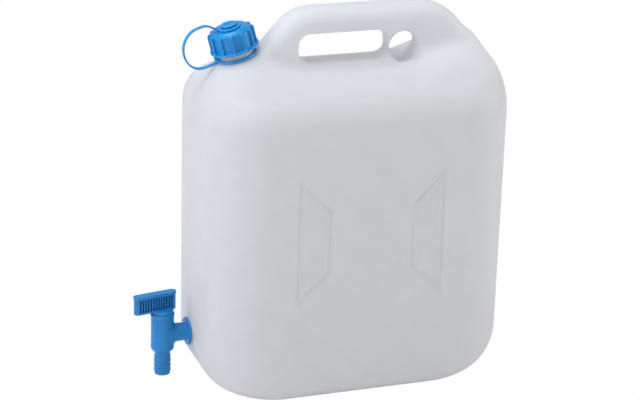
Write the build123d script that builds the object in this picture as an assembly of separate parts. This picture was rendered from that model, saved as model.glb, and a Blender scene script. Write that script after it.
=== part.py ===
"""Carboy with spigot: a blow-moulded vessel with a handle, a strapped screw cap and a turning tap.

Millimetres, +Z up. The vessel stands on Z = 0 with the middle of its base at the origin.
The wide faces look along -Y and +Y. The neck and the tap are at the -X end, the near end.
"""
import os
from bisect import bisect
from math import cos, hypot, radians, tan

from build123d import *

# Driving dimensions of the vessel
WIDTH = 342.0                # along X, over the narrow sides
DEPTH = 192.0                # along Y, over the wide faces
HEIGHT = 421.0               # base to the top of the handle
WALL = 2.0
CORNER_SHARE = 0.68          # plan corner radius as a share of the half depth
SAG = 0.2                    # how far the bands of the vessel may stray from its round outlines
NEAR_FOOT_RADIUS = 50.0      # rounding from the base up into the narrow sides
FAR_FOOT_RADIUS = 58.0
FACE_FOOT_RADIUS = 36.0      # rounding from the base up into the wide faces
SHOULDER_RADIUS = 32.0       # rounding from the wide faces into the roof
NEAR_SHOULDER_RADIUS = 52.0
FAR_SHOULDER_RADIUS = 108.0
ROOF_FALL = 14.0             # degrees that the roof falls from the handle to a wide face

# Handle: an upright hollow plate that grows out of the roof
HANDLE_HALF = 19.0           # half its thickness
HANDLE_HEIGHT = 62.5         # from where its flanks leave the roof to its top
HANDLE_EDGE_RADIUS = 13.0
LEDGE = 0.6                  # step where its far end lands on the roof
FAR_SLOPE, FAR_TOP_X, FAR_CROWN_RADIUS = 49.0, 105.2, 64.0
NEAR_SLOPE, NEAR_TOP_X, NEAR_CROWN_RADIUS = 47.5, -63.0, 45.0

# Hand slot and round hole through the handle
SLOT_LEFT, SLOT_RIGHT = -56.6, 42.6
SLOT_RISE, SLOT_HEIGHT = 2.9, 30.1      # floor of the slot above the foot of the handle
SLOT_END_SHARE = 0.4         # corner radius of the slot as a share of its height
HOLE_X, HOLE_RISE, HOLE_RADIUS = 61.7, 13.5, 16.2
SLOT_RIM, HOLE_RIM = 16.0, 12.0

# Raised roof at the far end of the handle, its height falling off towards the wide faces
MOUND_HEIGHT, MOUND_FLAT_Y = 15.0, 40.0
MOUND_START_X, MOUND_FULL_X = 45.0, 120.0
MOUND_INNER_START_X = 74.0   # its cavity starts past the round hole
MOUND_STEPS = (5.0, 12.0, 21.0, 38.0)   # its bends, in from the wide face
RAISED_SUNK, RAISED_PROUD = 58.5, 19.5  # reach of the raised forms below and above the foot of the handle

# Neck on its broad hill
NECK_X, NECK_RISE = -123.0, 12.5        # root of the neck above the foot of the handle
NECK_TILT = 15.5             # degrees towards the tap
NECK_RADIUS, NECK_WALL, NECK_LENGTH = 18.6, 2.6, 27.0
HILL_RADIUS, HILL_FALL, HILL_RAISE = 74.0, 33.0, 1.5
SEAT_RADIUS, SEAT_FOOT_RADIUS, SEAT_FALL = 23.0, 34.0, 50.0
SEAT_HEIGHT = 6.0            # seat of the neck above the sloped shoulder
SEAT_DEPTH, HILL_DEPTH = 25.0, 49.0

# Stiffening panels pressed into both wide faces
PANEL_DEPTH, PANEL_DRAFT, PANEL_CORNER = 1.3, 40.0, 6.0
PANEL_Z = 190.0
PANEL_INNER_X, PANEL_OUTER_X = 43.0, 85.0
PANEL_INNER_HALF, PANEL_OUTER_HALF = 36.0, 76.0
PANEL_MIDDLE_HALF_X, PANEL_MIDDLE_HALF_Z = 33.0, 40.0

# Tap
TAP_Z = 63.0
TAP_STANDOFF = 32.0          # narrow side of the vessel to the axis of the barrel
BOSS_RADIUS, BOSS_LENGTH, BOSS_PROUD = 17.0, 14.0, 0.6
STEM_RADIUS, STEM_BORE = 10.0, 6.0
THREAD_RADIUS, THREAD_LENGTH = 10.2, 12.0
FLANGE_RADIUS, FLANGE_THICKNESS = 15.5, 3.0
GASKET_THICKNESS = 2.0
BARREL_RADIUS, BARREL_TOP, BARREL_FOOT = 12.5, 88.0, 48.5
NOZZLE_SHOULDER = 4.0        # height of the cone between barrel and nozzle
NOZZLE_RADIUS, NOZZLE_FOOT, NOZZLE_BORE = 9.3, 16.5, 5.5
NOZZLE_RINGS = 3
PLUG_RADIUS, PLUG_FIT = 8.6, 0.06
FLAG_LONG, FLAG_SHORT, FLAG_TURN = 33.5, 15.2, 10.0
FLAG_FOOT, FLAG_TOP, FLAG_THICKNESS, FLAG_RIM = 92.0, 112.0, 9.0, 3.0
FLAG_GROOVES = 13

# Cap, seal and strap, measured along the neck from its root
CAP_LIFT, CAP_HEIGHT, CAP_WALL = 10.0, 23.0, 1.9
CAP_FLANGE_RADIUS, CAP_FLANGE_HEIGHT = 26.2, 2.4
CAP_GRIP_RADIUS, CAP_RIBS, CAP_RIB_WIDTH = 24.5, 12, 3.0
CAP_SHOULDER = 3.0
THREAD_SPACE = 1.7           # room between neck and cap for the two threads
SEAL_THICKNESS = 2.0
HUB_RADIUS, HUB_HEIGHT, HUB_LIP = 8.4, 3.4, 0.8
COLLAR_RADIUS, COLLAR_HEIGHT = 21.8, 3.0
STRAP_WIDTH, STRAP_THICKNESS = 4.6, 1.8
EYELET_RADIUS = 12.0
STRAP_LOOP = ((-24.0, 44.0), (-41.0, 43.5), (-54.0, 30.0), (-54.5, 12.0), (-45.0, 0.3), (-32.0, 0.2))
STRAP_BENDS = (12.0, 20.0, 22.0, 20.0, 16.0, 10.0)
LUG_HEIGHT, LUG_LENGTH = 7.5, 4.0
GAP = 0.3                    # free space between loose neighbours


def outline(points, radii, count=900):
    """Points and directions along a path of straight lines with rounded corners."""
    path = FilletPolyline(*points, radius=radii)
    return [(path @ (i / count), path % (i / count)) for i in range(count + 1)]


def width_of(side, wall):
    """Half-width against height for an outline moved inward by the wall."""
    moved = [(point.Y + wall * run.X, point.X - wall * run.Y) for point, run in side]

    def width(z):
        k = min(max(bisect(moved, (z, HEIGHT)), 1), len(moved) - 1)
        (low, inner), (high, outer) = moved[k - 1], moved[k]
        return inner + (outer - inner) * (z - low) / (high - low)

    return width


half_width, half_depth = WIDTH / 2, DEPTH / 2
handle_foot_z = HEIGHT - HANDLE_HEIGHT
slot_floor, slot_top = handle_foot_z + SLOT_RISE, handle_foot_z + SLOT_RISE + SLOT_HEIGHT
hole_z, neck_z, tap_reach = handle_foot_z + HOLE_RISE, handle_foot_z + NECK_RISE, half_width + TAP_STANDOFF
raised_low_z, raised_top_z = handle_foot_z - RAISED_SUNK, handle_foot_z + RAISED_PROUD
near_rise, far_rise, roof_rise = tan(radians(NECK_TILT)), tan(radians(FAR_SLOPE)), tan(radians(ROOF_FALL))
neck_frame = Plane(origin=(NECK_X, 0, neck_z), x_dir=(1, 0, near_rise), z_dir=(-near_rise, 0, 1))

# Outlines of the vessel below the handle: half-width or half-depth against height
tank_top = handle_foot_z + 1
roof_edge_z = handle_foot_z - (half_depth - HANDLE_HALF) * roof_rise
far_edge_z = HEIGHT - (half_width - FAR_TOP_X) * far_rise
near_edge_z = neck_z - SEAT_HEIGHT - (half_width + NECK_X) * near_rise
far_side = outline([(0, 0), (half_width, 0), (half_width, far_edge_z), (FAR_TOP_X, HEIGHT)],
                   [FAR_FOOT_RADIUS, FAR_SHOULDER_RADIUS])
near_side = outline([(0, 0), (half_width, 0), (half_width, near_edge_z),
                     (0, near_edge_z + half_width * near_rise)],
                    [NEAR_FOOT_RADIUS, NEAR_SHOULDER_RADIUS])
hill_side = [(point + Vector(0, HILL_RAISE), run) for point, run in near_side]
upright_side = [(Vector(half_width, z), Vector(0, 1)) for z in (0, HEIGHT)]
wide_face = outline([(0, 0), (half_depth, 0), (half_depth, roof_edge_z),
                     (0, roof_edge_z + half_depth * roof_rise)],
                    [FACE_FOOT_RADIUS, SHOULDER_RADIUS])


def levels(outlines, low, high):
    """Heights for the sections, so close together that bands between them follow the outlines within SAG."""
    heights, previous = [low], low
    for i in range(1, 1201):
        z = low + (high - low) * i / 1200
        for width in outlines:
            rise, run = z - heights[-1], width(z) - width(heights[-1])
            for share in (0.3, 0.5, 0.7):
                miss = abs(width(heights[-1] + share * rise) - width(heights[-1]) - share * run)
                if miss * rise / hypot(rise, run) > SAG and previous > heights[-1]:
                    heights.append(previous)
                    break
        previous = z
    return heights + [high]


def ring(z, near, far, depth):
    """One level section of the vessel: four straight sides with round corners."""
    corner = CORNER_SHARE * depth
    path = FilletPolyline((-near, -depth), (far, -depth), (far, depth), (-near, depth), radius=corner, close=True)
    return Pos(0, 0, z) * path.wire()


def tank_form(wall):
    """Closed solid of the vessel below the handle, moved inward by a wall."""
    sides = [width_of(side, wall) for side in (near_side, far_side, wide_face)]
    rings = [ring(z, *[width(z) for width in sides]) for z in levels(sides, wall, tank_top - wall)]
    return Solid.make_loft(rings, ruled=True)


def handle_form(wall):
    """Upright plate of the handle with rounded edges, moved inward by a wall."""
    foot = handle_foot_z - HANDLE_HALF
    near_foot_x = NEAR_TOP_X - (HEIGHT - foot) / tan(radians(NEAR_SLOPE))
    landing = tank_top - 2
    far_foot_x = width_of(far_side, 0)(landing) - LEDGE
    far_top_x = far_foot_x - (HEIGHT - landing) / far_rise
    corners = [(near_foot_x, foot), (NEAR_TOP_X, HEIGHT), (far_top_x, HEIGHT),
               (far_foot_x, landing), (far_foot_x, foot)]
    face = make_face(Polyline(*corners, close=True))
    near_corner, far_corner = face.vertices().sort_by(Axis.Y)[-2:].sort_by(Axis.X)
    face = fillet(near_corner, NEAR_CROWN_RADIUS)
    face = fillet(face.vertices().sort_by(Axis.Y)[-1], FAR_CROWN_RADIUS)
    if wall:
        face = offset(face, -wall)
    half = HANDLE_HALF - wall
    plate = extrude(Plane.XZ * face, half, both=True)
    rims = [e for e in plate.edges() if abs(abs((e @ 0.5).Y) - half) < 1e-3 and (e @ 0.5).Z > tank_top]
    return fillet(rims, HANDLE_EDGE_RADIUS - wall)


def dome(top_radius, foot_radius, fall, top_z, low_z, wall):
    """Upright frustum on a cylinder, moved inward by a wall."""
    foot_z = top_z - (foot_radius - top_radius) * tan(radians(fall))
    profile = Polyline((0, low_z), (foot_radius, low_z), (foot_radius, foot_z), (top_radius, top_z), (0, top_z),
                       close=True)
    return Pos(0, 0, -wall / cos(radians(fall))) * revolve(Plane.XZ * make_face(profile), Axis.Z)


def shoulders(near, far, wall):
    """Tank without a roof, up to the height of the neck, a little smaller than the tank itself."""
    inward = wall + LEDGE
    sides = [width_of(near, inward), width_of(far, inward)]
    rings = [ring(z, *[width(z) for width in sides], half_depth - inward)
             for z in levels(sides, raised_low_z, raised_top_z)]
    return Solid.make_loft(rings, ruled=True)


def hill_form(wall):
    """Broad hill behind the near shoulder with the tilted seat of the neck, moved inward by a wall."""
    top_z = neck_z + SEAT_RADIUS * near_rise
    hill = Pos(NECK_X, 0) * dome(SEAT_RADIUS, HILL_RADIUS, HILL_FALL, top_z, neck_z - HILL_DEPTH, wall)
    return (hill & shoulders(hill_side, upright_side, wall)) + neck_frame * dome(SEAT_RADIUS, SEAT_FOOT_RADIUS, SEAT_FALL, 0, -SEAT_DEPTH, wall)


def mound_form(wall):
    """Raised roof that ramps up towards the far end of the handle, moved inward by a wall."""
    def section(x, lift):
        side = []
        for y in rows:
            roof_z = next(point.Y for point, run in wide_face if point.Y > half_depth and point.X <= y)
            share = min(1, (rows[0] - y) / (rows[0] - MOUND_FLAT_Y))
            side.append((max(y - 0.7 * wall, 0), roof_z - LEDGE - wall + lift * share))
        mirrored = [(-y, z) for y, z in reversed(side[:-1])]
        foot = [(-side[0][0], raised_low_z), (side[0][0], raised_low_z)]
        return Plane.YZ.offset(x) * Polyline(*side, *mirrored, *foot, close=True).wire()

    rows = [half_depth - step for step in MOUND_STEPS] + [MOUND_FLAT_Y, 0]
    start_x = MOUND_INNER_START_X if wall else MOUND_START_X
    ramp = [section(start_x, -3), section(MOUND_FULL_X, MOUND_HEIGHT), section(half_width, MOUND_HEIGHT)]
    return Solid.make_loft(ramp, ruled=True) & shoulders(upright_side, far_side, wall)


def opening_tool(sketch, rim, wall):
    """What an opening through the handle takes away, with its rims rolled outward."""
    half = HANDLE_HALF - wall
    middle = sketch.center()
    block = extrude(Plane.XZ * Pos(middle.X, middle.Y) * Rectangle(WIDTH, HEIGHT / 2), half, both=True)
    pierced = block - extrude(Plane.XZ * offset(sketch, wall + 1e-3), half + 1, both=True)
    rims = [e for e in pierced.edges() if abs(abs((e @ 0.5).Y) - half) < 1e-3
            and abs((e @ 0.5).X - middle.X) < WIDTH / 3 and abs((e @ 0.5).Z - middle.Y) < HEIGHT / 5]
    return block - fillet(rims, rim - wall)


def slot_sketch():
    middle = Pos((SLOT_LEFT + SLOT_RIGHT) / 2, (slot_floor + slot_top) / 2)
    return middle * RectangleRounded(SLOT_RIGHT - SLOT_LEFT, SLOT_HEIGHT, SLOT_END_SHARE * SLOT_HEIGHT)


def hole_sketch():
    return Pos(HOLE_X, hole_z) * Circle(HOLE_RADIUS)


def panel_sketches():
    """Two trapezoids and the shallow rectangle between them, seen square to a wide face."""
    sketches = [Pos(0, PANEL_Z) * Rectangle(2 * PANEL_MIDDLE_HALF_X, 2 * PANEL_MIDDLE_HALF_Z)]
    for side in (-1, 1):
        inner, outer = side * PANEL_INNER_X, side * PANEL_OUTER_X
        corners = [(inner, -PANEL_INNER_HALF), (outer, -PANEL_OUTER_HALF),
                   (outer, PANEL_OUTER_HALF), (inner, PANEL_INNER_HALF)]
        sketches.append(Pos(0, PANEL_Z) * make_face(Polyline(*corners, close=True)))
    return [fillet(sketch.vertices(), PANEL_CORNER) for sketch in sketches]


def pressed(sketch, depth, wall):
    """Shallow block with sloped sides: the outer dent, or the same dent thickened by the wall."""
    grown = offset(sketch, wall) if wall else sketch
    return extrude(grown, depth + wall, taper=PANEL_DRAFT)


def dents(wall):
    """Stiffening panels of both wide faces."""
    blocks = []
    for side in (-1, 1):
        face = Plane(origin=(0, side * half_depth, 0), x_dir=(side, 0, 0), z_dir=(0, -side, 0))
        blocks += [pressed(face * sketch, PANEL_DEPTH, wall) for sketch in panel_sketches()]
    return blocks


def vessel_form(wall):
    """Tank, pierced handle, hill and mound together, moved inward by a wall."""
    handle = handle_form(wall) - opening_tool(slot_sketch(), SLOT_RIM, wall) - opening_tool(hole_sketch(), HOLE_RIM, wall)
    if wall:
        pillar_middle = (SLOT_RIGHT + HOLE_X - HOLE_RADIUS) / 2
        handle -= Pos(pillar_middle, 0, hole_z) * Box(3 * WALL, 2 * HANDLE_HALF, 2 * HOLE_RADIUS)
    handle -= neck_frame * Cylinder(SEAT_RADIUS + wall, LUG_HEIGHT + 1, align=ON_FOOT)
    passage = extrude(Plane.XZ * offset(hole_sketch(), LEDGE + wall), HANDLE_HALF + HOLE_RIM + wall, both=True)
    return tank_form(wall) + hill_form(wall) + (mound_form(wall) - passage) + handle


def container_body():
    """The blow-moulded vessel: one outer form, less the same form moved inward by the wall."""
    outer = vessel_form(0)
    outer += neck_frame * Pos(0, 0, -WALL) * Cylinder(NECK_RADIUS, NECK_LENGTH + WALL, align=ON_FOOT)
    outer += boss_seat * Cylinder(BOSS_RADIUS, BOSS_PROUD + WALL, align=ON_FOOT)
    for block in dents(0):
        outer -= block

    cavity = vessel_form(WALL)
    cavity += neck_frame * Pos(0, 0, -3 * WALL) * Cylinder(NECK_RADIUS - NECK_WALL, NECK_LENGTH + 4 * WALL,
                                                           align=ON_FOOT)
    for block in dents(WALL):
        cavity -= block
    cavity -= boss_seat * Cylinder(BOSS_RADIUS, BOSS_PROUD + BOSS_LENGTH, align=ON_FOOT)
    cavity += boss_seat * Cylinder(THREAD_RADIUS + GAP, BOSS_PROUD + BOSS_LENGTH + WALL, align=ON_FOOT)
    return outer - cavity


def tap_gasket():
    ring = Cylinder(FLANGE_RADIUS - 1, GASKET_THICKNESS, align=ON_FOOT)
    return gasket_seat * (ring - Cylinder(THREAD_RADIUS + GAP, GASKET_THICKNESS, align=ON_FOOT))


def nozzle_profile():
    """Half profile of the nozzle with its sloped hose rings, radius against height."""
    length = BARREL_FOOT - NOZZLE_SHOULDER - NOZZLE_FOOT
    points = [(0, NOZZLE_FOOT), (NOZZLE_RADIUS - 1.2, NOZZLE_FOOT)]
    pitch = length * 0.6 / NOZZLE_RINGS
    for i in range(NOZZLE_RINGS):
        z = NOZZLE_FOOT + i * pitch
        points += [(NOZZLE_RADIUS + 0.4, z + pitch * 0.8), (NOZZLE_RADIUS - 0.4, z + pitch)]
    points += [(NOZZLE_RADIUS - 0.4, BARREL_FOOT - NOZZLE_SHOULDER), (BARREL_RADIUS, BARREL_FOOT),
               (BARREL_RADIUS, BARREL_TOP), (0, BARREL_TOP)]
    return points


def tap_body():
    """One moulding: threaded stem, flange, barrel and hose nozzle, with the bores for plug and water."""
    barrel = Pos(-tap_reach, 0) * revolve(Plane.XZ * make_face(Polyline(*nozzle_profile(), close=True)), Axis.Z)
    flange = flange_seat * Cylinder(FLANGE_RADIUS, FLANGE_THICKNESS, align=ON_TOP)
    flange = fillet(flange.edges().sort_by(Axis.X)[0], 1.0)
    stem = flange_seat * Cylinder(STEM_RADIUS, stem_length, align=ON_TOP)
    thread = flange_seat * Cylinder(THREAD_RADIUS, THREAD_LENGTH, align=ON_FOOT)
    body = barrel + stem + flange + thread
    plug_foot = TAP_Z - STEM_BORE - 4
    body -= Pos(-tap_reach, 0, plug_foot) * Cylinder(PLUG_RADIUS + PLUG_FIT, HEIGHT, align=ON_FOOT)
    body -= Pos(-tap_reach, 0, 0) * Cylinder(NOZZLE_BORE, TAP_Z, align=ON_FOOT)
    body -= flange_seat * Pos(0, 0, THREAD_LENGTH) * Cylinder(STEM_BORE, THREAD_LENGTH + stem_length, align=ON_TOP)
    return body


def tap_plug():
    """Turning plug with its angled water way, the collar over the barrel and the grooved flag handle."""
    foot = TAP_Z - STEM_BORE - 4 + GAP
    plug = Pos(0, 0, foot) * Cylinder(PLUG_RADIUS, BARREL_TOP + GAP - foot + 1, align=ON_FOOT)
    plug += Pos(0, 0, BARREL_TOP + GAP) * Cylinder(BARREL_RADIUS - 0.6, FLAG_FOOT - BARREL_TOP - GAP, align=ON_FOOT)
    plug -= Cylinder(NOZZLE_BORE, TAP_Z, align=ON_FOOT)
    plug -= Pos(0, 0, TAP_Z) * Rot(90, 0, 0) * Cylinder(NOZZLE_BORE, 2 * PLUG_RADIUS, align=ON_FOOT)

    length, middle = FLAG_LONG + FLAG_SHORT, (FLAG_SHORT - FLAG_LONG) / 2
    height = FLAG_TOP - FLAG_FOOT + 1
    flag = Pos(middle, 0, FLAG_FOOT - 1) * extrude(SlotOverall(length, FLAG_THICKNESS), height)
    groove_pitch = (length - FLAG_THICKNESS) / FLAG_GROOVES
    groove_height = height - FLAG_RIM - 2.5
    for i in range(FLAG_GROOVES):
        x = middle + (i - (FLAG_GROOVES - 1) / 2) * groove_pitch
        groove = Pos(x, 0, FLAG_FOOT + 1.5) * Box(groove_pitch * 0.5, FLAG_THICKNESS + 1, groove_height, align=ON_FOOT)
        core = Pos(x, 0, FLAG_FOOT + 1.5) * Box(groove_pitch, FLAG_THICKNESS - 2.2, groove_height, align=ON_FOOT)
        flag -= groove - core
    rim = Pos(middle, 0, FLAG_TOP - FLAG_RIM) * extrude(SlotOverall(length + 1.2, FLAG_THICKNESS + 1.2), FLAG_RIM)
    flag += fillet(rim.edges().group_by(Axis.Z)[-1], 1.2)
    return Pos(-tap_reach, 0) * (plug + Rot(0, 0, FLAG_TURN) * flag)


def screw_cap():
    """Cap with a flange, grip ribs, rounded shoulder and the hub that holds the eyelet."""
    bore = NECK_RADIUS + THREAD_SPACE
    skirt = bore + CAP_WALL
    top = CAP_LIFT + CAP_HEIGHT
    profile = [(0, CAP_LIFT), (CAP_FLANGE_RADIUS, CAP_LIFT), (CAP_FLANGE_RADIUS, CAP_LIFT + CAP_FLANGE_HEIGHT * 0.6),
               (skirt + 0.6, CAP_LIFT + CAP_FLANGE_HEIGHT), (skirt, CAP_LIFT + CAP_FLANGE_HEIGHT + 0.6),
               (skirt, top - CAP_SHOULDER), (skirt - CAP_SHOULDER * 0.4, top - CAP_SHOULDER * 0.4),
               (skirt - CAP_SHOULDER, top), (0, top)]
    cap = revolve(Plane.XZ * make_face(Polyline(*profile, close=True)), Axis.Z)
    rib_height = CAP_HEIGHT - CAP_FLANGE_HEIGHT - CAP_SHOULDER + 1.6
    for i in range(CAP_RIBS):
        rib = Pos(CAP_GRIP_RADIUS - 3, 0, CAP_LIFT + CAP_FLANGE_HEIGHT - 1) * Box(
            6, CAP_RIB_WIDTH, rib_height, align=ON_FOOT)
        cap += Rot(0, 0, 360 / CAP_RIBS * (i + 0.5)) * rib
    cap -= Cylinder(bore, NECK_LENGTH + SEAL_THICKNESS, align=ON_FOOT)
    cap += Pos(0, 0, top - 0.5) * Cylinder(HUB_RADIUS, HUB_HEIGHT + 0.5, align=ON_FOOT)
    lip = Pos(0, 0, top + HUB_HEIGHT) * Cylinder(HUB_RADIUS + HUB_LIP, 1.2, align=ON_FOOT)
    cap += fillet(lip.edges().group_by(Axis.Z)[-1], 0.8)
    return neck_frame * cap


def cap_seal():
    radius = NECK_RADIUS + THREAD_SPACE - 0.2
    return neck_frame * Pos(0, 0, NECK_LENGTH) * Cylinder(radius, SEAL_THICKNESS, align=ON_FOOT)


def cap_strap():
    """One moulding: collar around the neck, lug, thin looped band and the eyelet under the hub."""
    def upright(radius, hole, low, high):
        ring = Cylinder(radius, high - low, align=ON_FOOT) - Cylinder(hole, high - low, align=ON_FOOT)
        return Pos(0, 0, low) * ring

    top = CAP_LIFT + CAP_HEIGHT
    collar = upright(COLLAR_RADIUS, NECK_RADIUS + GAP, GAP, GAP + COLLAR_HEIGHT)
    lug = Pos(-COLLAR_RADIUS, 0, GAP) * Box(LUG_LENGTH, STRAP_WIDTH, LUG_HEIGHT, align=ON_FOOT)
    eyelet = upright(EYELET_RADIUS, HUB_RADIUS + GAP, top + GAP, top + GAP + STRAP_THICKNESS)
    start = (-EYELET_RADIUS + 1, top + GAP + STRAP_THICKNESS / 2)
    end = (-COLLAR_RADIUS - LUG_LENGTH / 2 + 1, GAP + STRAP_THICKNESS / 2)
    path = FilletPolyline(start, *STRAP_LOOP, end, radius=STRAP_BENDS)
    section = Plane(origin=Plane.XZ.from_local_coords((*start, 0)),
                    z_dir=Plane.XZ.from_local_coords((*STRAP_LOOP[0], 0)) - Plane.XZ.from_local_coords((*start, 0)),
                    x_dir=(0, 1, 0)) * Rectangle(STRAP_WIDTH, STRAP_THICKNESS)
    band = sweep(section, path=Plane.XZ * path)
    return neck_frame * (collar + lug + eyelet + band)


ON_FOOT = (Align.CENTER, Align.CENTER, Align.MIN)
ON_TOP = (Align.CENTER, Align.CENTER, Align.MAX)

# Seats along the stem of the tap, with +Z of each frame pointing into the vessel
wall_x = -half_width - BOSS_PROUD
boss_seat = Plane(origin=(wall_x, 0, TAP_Z), z_dir=(1, 0, 0))
gasket_seat = Plane(origin=(wall_x - GASKET_THICKNESS, 0, TAP_Z), z_dir=(1, 0, 0))
flange_seat = gasket_seat
stem_length = tap_reach + wall_x - GASKET_THICKNESS

os.makedirs("parts", exist_ok=True)
for build in (container_body, tap_gasket, tap_body, tap_plug, screw_cap, cap_seal, cap_strap):
    solid = build()
    print(build.__name__, solid.is_valid, len(solid.solids()), round(solid.volume), solid.bounding_box())
    export_step(solid, f"parts/{build.__name__}.step")
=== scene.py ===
# %% [markdown]
# # A carboy with a spigot, as a picture
# This lesson builds the looks of a blow-moulded carboy: a hollow vessel with a carrying handle, a tilted
# neck with a strapped screw cap, and a small turning tap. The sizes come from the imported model, which is
# loaded first. Lengths in the formulas are millimetres, and the finished meshes are metres.

# %% Load the frame
from math import atan2, cos, degrees, hypot, pi, radians, sin, tan

import bmesh
import bpy
import numpy as np
from mathutils import Matrix, Vector


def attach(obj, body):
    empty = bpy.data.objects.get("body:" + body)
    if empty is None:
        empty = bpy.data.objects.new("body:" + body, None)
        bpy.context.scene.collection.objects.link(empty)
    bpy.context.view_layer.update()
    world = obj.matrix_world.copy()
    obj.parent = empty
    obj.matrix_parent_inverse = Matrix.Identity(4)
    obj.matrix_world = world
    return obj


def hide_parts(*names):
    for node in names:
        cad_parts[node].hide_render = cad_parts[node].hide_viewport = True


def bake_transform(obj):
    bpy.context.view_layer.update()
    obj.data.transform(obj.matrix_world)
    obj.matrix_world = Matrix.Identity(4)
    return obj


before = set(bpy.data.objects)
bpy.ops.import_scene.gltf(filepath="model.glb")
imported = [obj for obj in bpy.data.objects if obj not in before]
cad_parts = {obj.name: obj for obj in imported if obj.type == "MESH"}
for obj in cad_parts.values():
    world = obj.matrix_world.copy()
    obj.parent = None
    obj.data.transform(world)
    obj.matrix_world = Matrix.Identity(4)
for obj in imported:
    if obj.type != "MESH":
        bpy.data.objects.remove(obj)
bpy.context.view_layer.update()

# %% [markdown]
# ## A mesh from a formula
# Moulded plastic has no sharp joints: every form runs into its neighbour with a soft rounding. So each
# piece is written as a distance formula, negative inside and positive outside. Two forms are joined or
# cut with a rounded minimum or maximum, which leaves the rounding by itself. The function `skin` finds
# the cells of a grid that the surface crosses, puts one point in each, slides the points onto the
# surface, and ties neighbours together with quads.

# %% Distance helpers
def joined(a, b, k):
    """Union of two distance fields with a rounding of about k."""
    h = np.clip(0.5 + 0.5 * (b - a) / k, 0, 1)
    return b + (a - b) * h - k * h * (1 - h)


def cut(a, b, k):
    """What is inside a and also inside b, with a rounding of about k."""
    return -joined(-a, -b, k)


def corner(a, b, r):
    """What is inside both, with a round edge of radius r where they meet squarely."""
    return np.minimum(np.maximum(a, b) + r, 0) + np.hypot(np.maximum(a + r, 0), np.maximum(b + r, 0)) - r


def fillet(a, b, r, turn):
    """What is inside both, with a round edge of radius r where two faces turn by an angle."""
    u, v, c = a + r, b + r, cos(turn)
    edge = np.sqrt(np.maximum(u * u + v * v - 2 * u * v * c, 0)) / sin(turn) - r
    return np.where((u > c * v) & (v > c * u) & (u + v > 0), edge, np.maximum(a, b))


def slab(u, half):
    return np.abs(u) - half


def pad(u, v, half_u, half_v, r):
    """Rectangle with round corners."""
    return corner(slab(u, half_u), slab(v, half_v), r)


def step_up(u, low, high):
    """Smooth step from 0 at low to 1 at high."""
    t = np.clip((u - low) / (high - low), 0, 1)
    return t * t * (3 - 2 * t)


# %% From a formula to a mesh
def skin(field, low, high, step, rounds=2):
    """Vertices and quads of the surface where the field is zero."""
    axes = [np.arange(a, b + step, step) for a, b in zip(low, high)]
    inside = field(*np.meshgrid(*axes, indexing="ij")) < 0
    size = [n - 1 for n in inside.shape]
    count = np.zeros(size, int)
    for i in (0, 1):
        for j in (0, 1):
            for k in (0, 1):
                count += inside[i:i + size[0], j:j + size[1], k:k + size[2]]
    crossed = (count > 0) & (count < 8)
    number = np.full(size, -1)
    number[crossed] = np.arange(crossed.sum())
    home = np.argwhere(crossed) * step + np.array(low) + step / 2

    quads = []
    for axis in range(3):
        flat = np.moveaxis(inside, axis, 0)
        ids = np.moveaxis(number, axis, 0)
        change = flat[:-1, 1:-1, 1:-1] != flat[1:, 1:-1, 1:-1]
        i, j, k = np.nonzero(change)
        ring = np.stack([ids[i, j, k], ids[i, j + 1, k], ids[i, j + 1, k + 1], ids[i, j, k + 1]], 1)
        enters = flat[i, j + 1, k + 1] ^ (axis == 1)
        ring[~enters] = ring[~enters][:, ::-1]
        quads.append(ring)
    quads = np.concatenate(quads)

    def settle(points):
        e = step * 0.02
        for _ in range(4):
            value = field(*points.T)
            slope = np.stack([(field(*(points + e * a).T) - field(*(points - e * a).T)) / (2 * e)
                              for a in np.eye(3)], 1)
            move = slope * (value / np.maximum((slope ** 2).sum(1), 0.05))[:, None]
            points = points - np.clip(move, -step, step)
        return np.clip(points, home - 1.2 * step, home + 1.2 * step)

    points = settle(home)
    pairs = np.concatenate([quads[:, [a, (a + 1) % 4]] for a in range(4)])
    for _ in range(rounds):
        total, hits = np.zeros_like(points), np.zeros(len(points))
        for a, b in ((0, 1), (1, 0)):
            np.add.at(total, pairs[:, a], points[pairs[:, b]])
            np.add.at(hits, pairs[:, a], 1)
        points = settle(0.5 * points + 0.5 * total / hits[:, None])
    return points, quads


def piece(name, points, faces, body, material):
    """A finished object from points in millimetres."""
    mesh = bpy.data.meshes.new(name)
    mesh.from_pydata((np.asarray(points) / 1000).tolist(), [], np.asarray(faces).tolist())
    obj = bpy.data.objects.new(name, mesh)
    bpy.context.scene.collection.objects.link(obj)
    mesh.shade_smooth()
    mesh.materials.append(material)
    if body:
        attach(obj, body)
    low, high = np.min(points, 0), np.max(points, 0)
    print(f"{name}: {len(faces)} faces, from {low.round(1)} to {high.round(1)}")
    return obj


# %% [markdown]
# ## Materials
# The vessel is natural high-density polyethylene: milky, slightly blue, and light passes through it. The
# surface carries the fine grain of the mould, a gentle waviness from blowing, and the thin line where
# the two halves of the mould met. From the roof up its colour is painted lighter, a painted light for
# the light that comes through the thin handle. The cap, the strap and the tap are blue moulded plastic.

# %% Material helpers
def new_material(name):
    material = bpy.data.materials.new(name)
    material.use_nodes = True
    nodes, links = material.node_tree.nodes, material.node_tree.links
    nodes.clear()
    return material, nodes, links


def noise(nodes, links, vector, scale, detail=3.0, rough=0.55):
    n = nodes.new("ShaderNodeTexNoise")
    n.inputs["Scale"].default_value = scale
    n.inputs["Detail"].default_value = detail
    n.inputs["Roughness"].default_value = rough
    links.new(vector, n.inputs["Vector"])
    return n.outputs["Fac"]


def math(nodes, links, how, a, b):
    m = nodes.new("ShaderNodeMath")
    m.operation = how
    for socket, value in zip(m.inputs, (a, b)):
        if isinstance(value, (int, float)):
            socket.default_value = value
        else:
            links.new(value, socket)
    return m.outputs[0]


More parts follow.
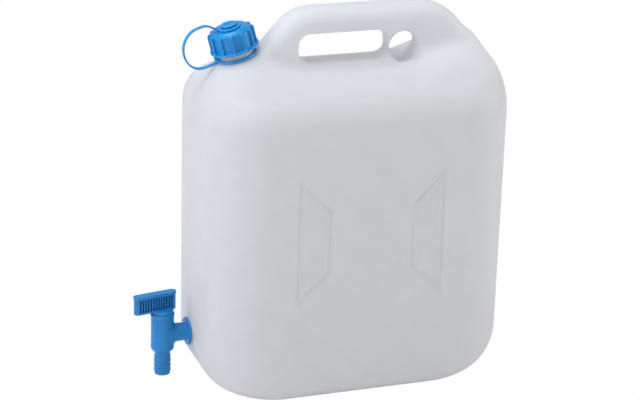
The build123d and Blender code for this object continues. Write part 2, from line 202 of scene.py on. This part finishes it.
def bump(nodes, links, height, strength, distance, below=None):
    b = nodes.new("ShaderNodeBump")
    b.inputs["Strength"].default_value = strength
    b.inputs["Distance"].default_value = distance
    links.new(height, b.inputs["Height"])
    if below is not None:
        links.new(below, b.inputs["Normal"])
    return b.outputs["Normal"]


def ramp(nodes, links, value, low, high, stops=(0.3, 0.7)):
    r = nodes.new("ShaderNodeValToRGB")
    for element, where, colour in zip(r.color_ramp.elements, stops, (low, high)):
        element.position = where
        element.color = (*colour, 1)
    links.new(value, r.inputs["Fac"])
    return r.outputs["Color"]


# %% Milky vessel plastic
def vessel_material():
    material, nodes, links = new_material("vessel_plastic")
    where = nodes.new("ShaderNodeTexCoord").outputs["Object"]
    xyz = nodes.new("ShaderNodeSeparateXYZ")
    links.new(where, xyz.inputs[0])

    wave = noise(nodes, links, where, 14, 2)
    grain = noise(nodes, links, where, 900, 4)
    haze = noise(nodes, links, where, 45, 4)
    across = math(nodes, links, "ABSOLUTE", xyz.outputs["Y"], 0)
    seam = math(nodes, links, "LESS_THAN", across, 0.00035)
    normal = bump(nodes, links, wave, 0.25, 0.003)
    normal = bump(nodes, links, grain, 0.12, 0.0003, normal)
    normal = bump(nodes, links, seam, 0.5, 0.0004, normal)

    # Painted light: from the roof up the colour blends into a lighter copy, standing in for light through the thin
    # handle.
    lower = ramp(nodes, links, haze, VESSEL_DARK, VESSEL_LIGHT)
    upper = ramp(nodes, links, haze, LIT_TOP_DARK, LIT_TOP_LIGHT)
    height = nodes.new("ShaderNodeMapRange")
    height.interpolation_type = "SMOOTHSTEP"
    height.inputs["From Min"].default_value = 0.33
    height.inputs["From Max"].default_value = 0.385
    links.new(xyz.outputs["Z"], height.inputs["Value"])
    painted_light_blend = nodes.new("ShaderNodeMixRGB")
    links.new(height.outputs[0], painted_light_blend.inputs["Fac"])
    links.new(lower, painted_light_blend.inputs[1])
    links.new(upper, painted_light_blend.inputs[2])
    colour = painted_light_blend.outputs[0]
    shell = nodes.new("ShaderNodeBsdfPrincipled")
    links.new(colour, shell.inputs["Base Color"])
    shell.inputs["Roughness"].default_value = 0.38
    shell.inputs["IOR"].default_value = 1.5
    shell.inputs["Specular IOR Level"].default_value = 0.35
    links.new(normal, shell.inputs["Normal"])
    through = nodes.new("ShaderNodeBsdfTranslucent")
    links.new(colour, through.inputs["Color"])
    links.new(normal, through.inputs["Normal"])
    mix = nodes.new("ShaderNodeMixShader")
    mix.inputs["Fac"].default_value = 0.45
    links.new(shell.outputs[0], mix.inputs[1])
    links.new(through.outputs[0], mix.inputs[2])
    out = nodes.new("ShaderNodeOutputMaterial")
    links.new(mix.outputs[0], out.inputs["Surface"])
    return material


# %% Blue and other moulded plastics
def moulded(name, dark, light, rough, grain_scale=1500, subsurface=0.15):
    """Coloured plastic with a fine grain, slight flow marks and uneven gloss."""
    material, nodes, links = new_material(name)
    where = nodes.new("ShaderNodeTexCoord").outputs["Object"]
    flow = noise(nodes, links, where, 60, 3)
    grain = noise(nodes, links, where, grain_scale, 3)
    scuff = noise(nodes, links, where, 350, 5, 0.7)
    shader = nodes.new("ShaderNodeBsdfPrincipled")
    links.new(ramp(nodes, links, flow, dark, light), shader.inputs["Base Color"])
    uneven = math(nodes, links, "MULTIPLY_ADD", scuff, 0.16)
    uneven.node.inputs[2].default_value = rough - 0.08
    links.new(uneven, shader.inputs["Roughness"])
    shader.inputs["Subsurface Weight"].default_value = subsurface
    shader.inputs["Subsurface Radius"].default_value = (0.4, 0.7, 1.0)
    shader.inputs["Subsurface Scale"].default_value = 0.002
    normal = bump(nodes, links, flow, 0.15, 0.0008)
    links.new(bump(nodes, links, grain, 0.15, 0.0001, normal), shader.inputs["Normal"])
    out = nodes.new("ShaderNodeOutputMaterial")
    links.new(shader.outputs[0], out.inputs["Surface"])
    return material


# The second pair is a lighter copy of the vessel colour, painted light for the handle and top.
VESSEL_DARK, VESSEL_LIGHT = (0.80, 0.80, 0.805), (0.825, 0.825, 0.83)
LIT_TOP_DARK, LIT_TOP_LIGHT = (0.87, 0.88, 0.895), (0.89, 0.90, 0.915)
vessel = vessel_material()
tap_blue = moulded("tap_blue", (0.001, 0.175, 0.47), (0.002, 0.215, 0.54), 0.36)
cap_blue = moulded("cap_blue", (0.001, 0.23, 0.58), (0.002, 0.28, 0.66), 0.32)
strap_blue = moulded("strap_blue", (0.010, 0.28, 0.64), (0.020, 0.34, 0.72), 0.34, 1500, 0.3)
white = moulded("seal_foam", (0.75, 0.75, 0.72), (0.82, 0.82, 0.80), 0.6)
grey = moulded("gasket_rubber", (0.50, 0.51, 0.50), (0.58, 0.59, 0.58), 0.55)
print("materials:", [m.name for m in bpy.data.materials])

# %% [markdown]
# ## The vessel
# The tank is a box with large round corners. Its foot rounds gently into the narrow sides and more
# tightly into the wide faces. Four slopes close it at the top. The handle is an upright plate with almost
# fully round edges, and the slot and the round hole share that rounding. A cone-shaped hill carries the
# tilted neck.

# %% Sizes of the vessel
HALF_X, HALF_Y, TOP = 171.0, 96.0, 421.0
NEAR_FOOT, FAR_FOOT, FACE_FOOT = 52.0, 58.0, 36.0
NEAR_SHOULDER, FAR_SHOULDER = 52.0, 108.0
ROOF_FALL, ROOF_Z = radians(15.5), 358.5
HANDLE_HALF, HANDLE_ROUND = 19.0, 16.0
NECK = Vector((-123.0, 0.0, 371.0))
NECK_TILT = radians(15.5)
NECK_AXIS = Vector((-sin(NECK_TILT), 0, cos(NECK_TILT)))


def plane(x, z, at, angle):
    """Distance from a sloping plane through a point; the angle is its fall towards +X."""
    return (x - at[0]) * sin(angle) + (z - at[1]) * cos(angle)


def outline(corners, radii):
    """Heights and half-widths along a path of straight lines with round corners."""
    path = [Vector(corners[0])]
    for before, here, after, r in zip(corners, corners[1:], corners[2:], radii):
        here = Vector(here)
        back, on = (Vector(before) - here).normalized(), (Vector(after) - here).normalized()
        half = back.angle(on) / 2
        centre = here + (back + on).normalized() * (r / sin(half))
        start, end = here + back * (r / tan(half)) - centre, here + on * (r / tan(half)) - centre
        path += [centre + start.lerp(end, t / 24).normalized() * r for t in range(25)]
    path.append(Vector(corners[-1]))
    return np.array([p.y for p in path]), np.array([p.x for p in path])


NEAR_EDGE_Z, FAR_EDGE_Z = 351.7, 345.3
ROOF_EDGE_Z = ROOF_Z - (HALF_Y - HANDLE_HALF) * tan(ROOF_FALL)
far_side = outline([(0, 0), (HALF_X, 0), (HALF_X, FAR_EDGE_Z), (HALF_X - 200, FAR_EDGE_Z + 200 * tan(radians(49)))],
                   [FAR_FOOT, FAR_SHOULDER])
near_side = outline([(0, 0), (HALF_X, 0), (HALF_X, NEAR_EDGE_Z),
                     (HALF_X - 400, NEAR_EDGE_Z + 400 * tan(NECK_TILT))], [NEAR_FOOT, NEAR_SHOULDER])
wide_face = outline([(0, 0), (HALF_Y, 0), (HALF_Y, ROOF_EDGE_Z), (HALF_Y - 400, ROOF_EDGE_Z + 400 * tan(ROOF_FALL))],
                    [FACE_FOOT, 32])


def along_neck(x, y, z):
    """Radius from the neck's axis and height along it."""
    up = (x - NECK.x) * NECK_AXIS.x + (z - NECK.z) * NECK_AXIS.z
    side = (x - NECK.x) * NECK_AXIS.z - (z - NECK.z) * NECK_AXIS.x
    return np.hypot(side, y), up


def slot_field(x, z):
    return pad(x + 7.0, z - 376.45, 49.6, 15.05, 12.0)


def hole_field(x, z):
    return np.hypot(x - 61.7, z - 372.0) - 16.2


def far_slope(x, z):
    return plane(x, z, (105.2, TOP), radians(49))


# %% Tank
def section(x, y, z, lift):
    """Level distance from the outline of the tank at each height."""
    near, far, face = [np.interp(h, *side) for side, h in ((near_side, z - 1.0), (far_side, z), (wide_face, z - lift))]
    middle, half = (far - near) / 2, (far + near) / 2
    round_off = 0.68 * np.maximum(face, 3)
    return corner(np.abs(x - middle) - half, np.abs(y) - face, round_off)


def tank(x, y, z):
    """The roof is lifted into a ramp at the far end and into a broad dome around the neck."""
    ramp = 18 * step_up(x, 42, 120) * (1 - step_up(np.abs(y), 32, 84))
    dome = 12 * (1 - step_up(np.hypot(x - NECK.x, y), 10, 76))
    lift = (ramp + dome) * step_up(z, 290, 345)
    slope = (section(x, y, z + 1, lift) - section(x, y, z - 1, lift)) / 2
    walls = section(x, y, z, lift) / np.sqrt(1 + slope ** 2)
    return np.maximum(walls, -z)


# %% Handle with its slot and hole
def handle(x, y, z):
    face = fillet(z - TOP, far_slope(x, z), 64, radians(49))
    face = fillet(face, plane(x, z, (-63.0, TOP), -radians(47.5)), 45, radians(47.5))
    face = fillet(np.maximum(face, 330 - z), x - HALF_X, FAR_SHOULDER, radians(41))
    face = np.maximum(face, -np.minimum(slot_field(x, z), hole_field(x, z)))
    return corner(face, slab(y, HANDLE_HALF), HANDLE_ROUND)


# %% Seat of the neck, and panels
def seat(x, y, z):
    """Raised seat under the collar of the strap."""
    r, up = along_neck(x, y, z)
    return np.maximum(corner(up, (r - 23.0) * sin(radians(50)) + up * cos(radians(50)), 1.2), -25 - up)


def pressed(x, z):
    """Depth of the stiffening panels: two wedge-shaped ones with a shallow rectangle between."""
    u, v = np.abs(x), z - 190.0
    lean = np.hypot(42.0, 40.0)
    edge = ((np.abs(v) - 36) * 42 - (u - 43) * 40) / lean
    wedge = corner(corner(43 - u, u - 85, 6.0), edge, 6.0)
    middle = pad(x, v, 33.0, 40.0, 6.0)
    bar = step_up(wedge, -10.0, -8.0) * (1 - step_up(wedge, -6.0, -4.0))
    return 2.0 * (1 - step_up(wedge, -2.8, 0.3)) - 1.1 * bar + 0.8 * (1 - step_up(middle, -2.0, 0.3))


def vessel_field(x, y, z):
    form = joined(tank(x, y, z), seat(x, y, z), 7.0)
    form = joined(form, handle(x, y, z), 10.0)
    way = np.minimum(hole_field(x, z), slot_field(x, z)) - 4 * step_up(np.abs(y), 8, 24) * step_up(z, 358, 370)
    form = np.maximum(form, -np.maximum(way, np.abs(y) - 19 - 11 * step_up(z, 357, 367)))
    r, up = along_neck(x, y, z)
    form = cut(form, -np.maximum(r - 23.2, np.maximum(-up, up - 9)), 1.5)
    boss = corner(np.hypot(y, z - 63.0) - 17.0, slab(x + 165.0, 6.6), 1.0)
    form = joined(form, boss, 2.5)
    facing = step_up(np.abs(y), 70, 88)
    return form + pressed(x, z) * facing * (1 - step_up(z, 270, 290))


# %% Skin of the vessel
step = 2.6
points, quads = skin(vessel_field, (-178, -102, -6), (178, 102, 428), step)
points[:, 2] = np.maximum(points[:, 2], 0)
body = piece("vessel_skin", points, quads, "container", vessel)
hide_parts("container_body")

# %% [markdown]
# ## The screw cap and its strap
# Both are turned about the neck, so they are written with the distance from its axis and the height
# along it. The cap has a flange at its lower rim, twelve grip ribs, a sloping shoulder and a hub. The
# strap is one moulding: a collar round the neck, a thin band that loops out towards the tap, and an
# eyelet that turns on the hub.

# %% Neck and screw cap
def from_neck(points):
    """Points of that frame back in the frame of the model."""
    u, y, w = np.asarray(points).T
    return np.stack([NECK.x + u * cos(NECK_TILT) - w * sin(NECK_TILT), y,
                     NECK.z + u * sin(NECK_TILT) + w * cos(NECK_TILT)], 1)


NECK_RADIUS, THREAD_PITCH = 18.6, 4.2


def neck_field(u, y, w):
    """Neck tube with a rolled foot and a screw thread of two and a half turns."""
    r, turn = np.hypot(u, y), np.arctan2(y, u) / (2 * pi)
    tube = corner(r - NECK_RADIUS, slab(w - 12.0, 15.0), 0.7)
    foot = joined(tube, corner(r - 21.0, slab(w + 1.0, 1.2), 0.6), 3.0)
    climb = np.mod(w / THREAD_PITCH - turn, 1) - 0.5
    thread = corner(r - NECK_RADIUS - 1.0, slab(climb * THREAD_PITCH, 0.75), 0.4)
    thread = np.maximum(thread, slab(w - 18.5, 5.8))
    return np.maximum(joined(foot, thread, 0.8), -np.maximum(r - 16.0, 4.0 - w))


step = 0.6
points, quads = skin(neck_field, (-22.6, -22.6, -4.4), (22.6, 22.6, 28.8), step)
piece("neck_skin", from_neck(points), quads, "container", vessel)

CAP_FOOT, CAP_TOP, CAP_BORE, CAP_SKIRT = 10.0, 33.0, 20.3, 21.9
RIBS, RIB_RADIUS, RIB_HALF = 12, 25.0, 1.4


def cap_field(u, y, w):
    r, turn = np.hypot(u, y), np.arctan2(y, u)
    skirt = corner(r - CAP_SKIRT, slab(w - (CAP_FOOT + CAP_TOP) / 2, (CAP_TOP - CAP_FOOT) / 2), 0.8)
    shoulder = (r + w - CAP_SKIRT - CAP_TOP + 3.4) / hypot(1, 1)
    skirt = cut(skirt, shoulder, 1.2)
    pitch = 2 * pi / RIBS
    fold = np.mod(turn, pitch) - pitch / 2
    rib = corner(corner(np.abs(r * np.sin(fold)) - RIB_HALF, r - RIB_RADIUS, 0.7), slab(w - 20.6, 10.4), 0.7)
    rib = cut(rib, (r + w - RIB_RADIUS - 31.0 + 2.0) / hypot(1, 1), 0.6)
    form = joined(skirt, rib, 0.6)
    flange = corner(r - 26.2, slab(w - CAP_FOOT - 1.1, 1.1), 0.7)
    form = joined(form, flange, 1.2)
    ring = corner(np.abs(r - 17.2) - 0.6, slab(w - CAP_TOP, 0.45), 0.3)
    form = joined(form, ring, 0.5)
    form = np.minimum(form, corner(r - 8.4, slab(w - CAP_TOP - 1.5, 2.6), 0.4))
    form = joined(form, corner(r - 9.2, slab(w - CAP_TOP - 4.0, 0.65), 0.5), 0.4)
    form = np.maximum(form, -corner(r - 3.2, slab(w - CAP_TOP - 5.0, 1.4), 0.5))
    return np.maximum(form, -np.maximum(r - CAP_BORE, w - 29.0))


step = 0.6
points, quads = skin(cap_field, (-27.6, -27.6, 8.4), (27.6, 27.6, 39.6), step)
cap = piece("cap_skin", from_neck(points), quads, "cap", cap_blue)
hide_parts("screw_cap")

# %% Strap
LOOP = [(-11.0, 34.2), (-24.0, 44.0), (-41.0, 43.5), (-54.0, 30.0), (-54.5, 12.0), (-45.0, 0.3), (-32.0, 0.2),
        (-22.5, 1.3)]
BENDS = (12.0, 20.0, 22.0, 20.0, 16.0, 10.0)
height, reach = outline(LOOP, BENDS)
way = np.stack([reach, height], 1)


def band_field(u, y, w):
    """Flat band round the path of the loop."""
    near = np.full(u.shape, 1e9)
    for (a, b), (c, d) in zip(way[:-1], way[1:]):
        du, dw = c - a, d - b
        long = max(du * du + dw * dw, 1e-9)
        t = np.clip(((u - a) * du + (w - b) * dw) / long, 0, 1)
        near = np.minimum(near, np.hypot(u - a - t * du, w - b - t * dw))
    return corner(near - 0.95, slab(y, 2.4), 0.5)


def strap_field(u, y, w):
    r = np.hypot(u, y)
    collar = corner(np.maximum(r - 21.8, 18.9 - r), slab(w - 1.8, 1.5), 0.5)
    lug = corner(corner(slab(u + 22.0, 2.2), slab(y, 2.4), 0.6), slab(w - 4.0, 3.7), 0.6)
    eyelet = np.maximum(corner(r - 12.0, slab(w - 34.2, 0.95), 0.4), 8.7 - r)
    return joined(joined(joined(collar, lug, 1.0), band_field(u, y, w), 1.2), eyelet, 1.0)


step = 0.75
points, quads = skin(strap_field, (-59.0, -23.4, -2.4), (24.0, 23.4, 47.0), step, rounds=1)
strap = piece("strap_skin", from_neck(points), quads, None, strap_blue)
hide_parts("cap_strap")
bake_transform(strap)

# %% [markdown]
# ## The tap
# The body is one moulding: a stem with a flange that screws into the vessel, an upright barrel and a hose
# nozzle. The plug turns inside the barrel and carries the grooved flag handle.

# %% Tap body
TAP_X, TAP_Z = -203.0, 63.0


def tube(x, y, z, r, low, high, edge):
    """Upright cylinder at the barrel's axis."""
    return corner(np.hypot(x - TAP_X, y) - r, slab(z - (low + high) / 2, (high - low) / 2), edge)


def stub(x, y, z, r, low, high, edge):
    """Level cylinder along the stem."""
    return corner(np.hypot(y, z - TAP_Z) - r, slab(x - (low + high) / 2, (high - low) / 2), edge)


def tap_field(x, y, z):
    barrel = tube(x, y, z, 12.5, 48.0, 88.0, 1.0)
    r = np.hypot(x - TAP_X, y)
    cone = np.maximum((r - 9.6 - (z - 43.5)) / hypot(1, 1), slab(z - 46.0, 3.0))
    barrel = joined(np.maximum(barrel, (r - 12.5 - (z - 49.5)) / hypot(1, 1)), np.maximum(cone, r - 12.5), 1.5)
    rise = np.mod(z - 17.0, 5.2) / 5.2
    rings = np.where(z < 37.0, 0.75 * rise ** 2, 0)
    nozzle = corner(r - 8.7 - rings, slab(z - 33.0, 16.5), 1.8)
    form = joined(barrel, nozzle, 1.2)
    collar = tube(x, y, z, 13.1, 84.5, 88.0, 0.8)
    form = joined(form, collar, 1.0)
    form = joined(form, stub(x, y, z, 10.0, TAP_X, -174.0, 0.5), 5.0)
    form = joined(form, stub(x, y, z, 15.5, -176.9, -173.6, 1.1), 2.5)
    form = np.minimum(form, stub(x, y, z, 10.2, -174.5, -161.6, 0.6))
    bores = np.minimum(tube(x, y, z, 8.66, 53.0, 95.0, 0.2), tube(x, y, z, 5.5, 0.0, 63.0, 0.2))
    bores = np.minimum(bores, stub(x, y, z, 6.0, -203.0, -150.0, 0.2))
    return np.maximum(form, -bores)


step = 0.7
points, quads = skin(tap_field, (-217.2, -17.0, 14.8), (-159.8, 17.0, 90.0), step)
tap = piece("tap_skin", points, quads, "container", tap_blue)
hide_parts("tap_body")

# %% Turning plug with the flag handle
FLAG_TURN, FLAG_LONG, FLAG_SHORT, GROOVES = radians(10.0), 33.5, 15.2, 13


def plug_field(x, y, z):
    u, v = x - TAP_X, y
    form = corner(np.hypot(u, v) - 8.6, slab(z - 71.0, 17.7), 0.3)
    bore = np.maximum(np.hypot(u, v) - 5.5, z - 63.0)
    side = np.maximum(np.hypot(u, z - 63.0) - 5.5, v)
    form = np.maximum(form, -np.minimum(bore, side))
    form = np.minimum(form, corner(np.hypot(u, v) - 11.9, slab(z - 90.2, 1.9), 0.8))
    a, b = u * cos(FLAG_TURN) + v * sin(FLAG_TURN), v * cos(FLAG_TURN) - u * sin(FLAG_TURN)
    middle, half = (FLAG_SHORT - FLAG_LONG) / 2, (FLAG_SHORT + FLAG_LONG) / 2
    oval = np.hypot(np.maximum(np.abs(a - middle) - half + 4.5, 0), b) - 4.5
    flag = corner(oval, slab(z - 101.5, 10.5), 0.9)
    pitch = (2 * half - 9.0) / GROOVES
    along = np.abs(np.mod((a - middle) / pitch + GROOVES / 2, 1) - 0.5) * pitch
    groove = np.maximum(np.maximum(along - pitch * 0.31, np.abs(a - middle) - half + 4.5), slab(z - 100.8, 7.2))
    flag = cut(flag, -np.maximum(groove, 1.6 - np.abs(b)), 0.3)
    rim = corner(oval - 0.7, slab(z - 110.4, 1.6), 0.9)
    return joined(form, joined(flag, rim, 0.5), 1.0)


step = 0.5
points, quads = skin(plug_field, (-238.5, -14.0, 52.0), (-185.5, 14.0, 113.4), step, rounds=1)
plug = piece("plug_skin", points, quads, "plug", tap_blue)
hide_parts("tap_plug")

# %% [markdown]
# ## Studio
# A white floor and a white surround, one broad soft lamp from the upper left and a weaker one from the
# right, and the camera where the photograph was taken from.

# %% Floor, world and lamps
floor_mesh = bpy.data.meshes.new("floor")
floor_mesh.from_pydata([(-6, -6, -0.0006), (6, -6, -0.0006), (6, 6, -0.0006), (-6, 6, -0.0006)], [], [(0, 1, 2, 3)])
floor = bpy.data.objects.new("floor", floor_mesh)
bpy.context.scene.collection.objects.link(floor)
material, nodes, links = new_material("floor_white")
shade = nodes.new("ShaderNodeBsdfDiffuse")
shade.inputs["Color"].default_value = (0.9, 0.9, 0.9, 1)
glow = nodes.new("ShaderNodeEmission")
glow.inputs["Color"].default_value = (1, 1, 1, 1)
path = nodes.new("ShaderNodeLightPath")
mix = nodes.new("ShaderNodeMixShader")
links.new(path.outputs["Is Camera Ray"], mix.inputs["Fac"])
links.new(shade.outputs[0], mix.inputs[1])
links.new(glow.outputs[0], mix.inputs[2])
out = nodes.new("ShaderNodeOutputMaterial")
links.new(mix.outputs[0], out.inputs["Surface"])
floor_mesh.materials.append(material)

world = bpy.data.worlds.new("studio")
bpy.context.scene.world = world
world.use_nodes = True
nodes, links = world.node_tree.nodes, world.node_tree.links
nodes.clear()
path = nodes.new("ShaderNodeLightPath")
seen = nodes.new("ShaderNodeBackground")
seen.inputs["Color"].default_value = (1, 1, 1, 1)
lit = nodes.new("ShaderNodeBackground")
lit.inputs["Color"].default_value = (0.49, 0.49, 0.49, 1)
mix = nodes.new("ShaderNodeMixShader")
links.new(path.outputs["Is Camera Ray"], mix.inputs["Fac"])
links.new(lit.outputs[0], mix.inputs[1])
links.new(seen.outputs[0], mix.inputs[2])
out = nodes.new("ShaderNodeOutputWorld")
links.new(mix.outputs[0], out.inputs["Surface"])


def lamp(name, at, aim, size, power, colour=(1, 1, 1)):
    data = bpy.data.lights.new(name, "AREA")
    data.color = colour
    data.shape, data.size, data.energy = "SQUARE", size, power
    obj = bpy.data.objects.new(name, data)
    bpy.context.scene.collection.objects.link(obj)
    obj.location = at
    obj.rotation_euler = (Vector(aim) - Vector(at)).to_track_quat("-Z", "Y").to_euler()


cool = (0.87, 0.91, 1.0)
lamp("left", (-2.4, -0.5, 1.3), (0, 0, 0.22), 1.3, 24, cool)
lamp("right", (2.4, -0.6, 0.8), (0, 0, 0.2), 1.0, 19)
lamp("top", (-0.8, 0.0, 2.5), (-0.05, 0, 0.3), 1.3, 34, cool)

# %% Camera of the photograph
TURN, LOOK_DOWN, ROLL = radians(20.5), radians(20.0), radians(1.953)
aim = Vector((0, 0, 0.21))
ahead = Vector((sin(TURN) * cos(LOOK_DOWN), cos(TURN) * cos(LOOK_DOWN), -sin(LOOK_DOWN)))
right = Vector((cos(TURN), -sin(TURN), 0))
above = right.cross(ahead)
side = right * cos(ROLL) + above * sin(ROLL)
upward = above * cos(ROLL) - right * sin(ROLL)
data = bpy.data.cameras.new("photo_camera")
data.lens, data.sensor_width = 119.07, 36.0
data.shift_x, data.shift_y = -22.2 / 640, -9.8 / 640
camera = bpy.data.objects.new("photo_camera", data)
bpy.context.scene.collection.objects.link(camera)
at = aim - ahead * 2.3187
camera.matrix_world = Matrix([(*side, 0), (*upward, 0), (*(-ahead), 0), (0, 0, 0, 1)]).transposed()
camera.matrix_world.translation = at
bpy.context.scene.camera = camera
bpy.context.scene.view_settings.view_transform = "Standard"

# %% Materials for the pieces that come straight from the model
for name, material in (("tap_gasket", grey), ("cap_seal", white)):
    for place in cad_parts[name].material_slots:
        place.material = material
